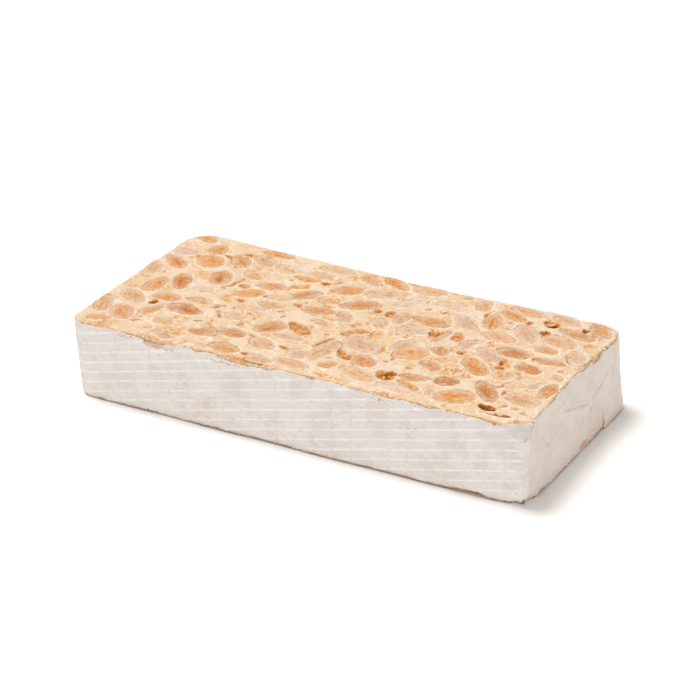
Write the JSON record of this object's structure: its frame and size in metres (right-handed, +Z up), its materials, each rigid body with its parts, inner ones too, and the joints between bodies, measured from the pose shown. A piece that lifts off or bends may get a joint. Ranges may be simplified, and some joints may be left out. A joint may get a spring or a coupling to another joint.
{
  "type": "nougat bar",
  "caption": "Rectangular bar of hard almond nougat with a sawn face of cut almonds and sheets of edible wafer on its four sides.",
  "frame": {"origin": "middle of the bar's bounding box, on the sawn underside that it rests on", "axes": "+X along the bar, towards the end with the folded corner; +Y across it, from the embossed wafer side to the back; +Z up, out of the sawn face"},
  "size_m": [0.2076, 0.0987, 0.0356],
  "materials": {
    "nougat": "satin, sawn, cream coloured",
    "wafer": "matt, off-white, pressed starch sheet",
    "almond": "matt, toasted, sawn through"
  },
  "bodies": {
    "root": {"nougat_block": "nougat", "wafer_front": "wafer", "wafer_end_right": "wafer", "wafer_back": "wafer", "wafer_end_left": "wafer", "wafer_flap": "wafer", "almond_01": "almond", "almond_02": "almond", "almond_03": "almond", "almond_04": "almond", "almond_05": "almond", "almond_06": "almond", "almond_07": "almond", "almond_08": "almond", "almond_09": "almond", "almond_10": "almond", "almond_11": "almond", "almond_12": "almond", "almond_13": "almond", "almond_14": "almond", "almond_15": "almond", "almond_16": "almond", "almond_17": "almond", "almond_18": "almond", "almond_19": "almond", "almond_20": "almond", "almond_21": "almond", "almond_22": "almond", "almond_23": "almond", "almond_24": "almond", "almond_25": "almond", "almond_26": "almond", "almond_27": "almond", "almond_28": "almond", "almond_29": "almond", "almond_30": "almond", "almond_31": "almond", "almond_32": "almond", "almond_33": "almond", "almond_34": "almond", "almond_35": "almond", "almond_36": "almond", "almond_37": "almond", "almond_38": "almond", "almond_39": "almond", "almond_40": "almond", "almond_41": "almond", "almond_42": "almond", "almond_43": "almond", "almond_44": "almond", "almond_45": "almond", "almond_46": "almond", "almond_47": "almond", "almond_48": "almond", "almond_49": "almond", "almond_50": "almond", "almond_51": "almond", "almond_52": "almond", "almond_53": "almond", "almond_54": "almond"}
  },
  "joints": []
}
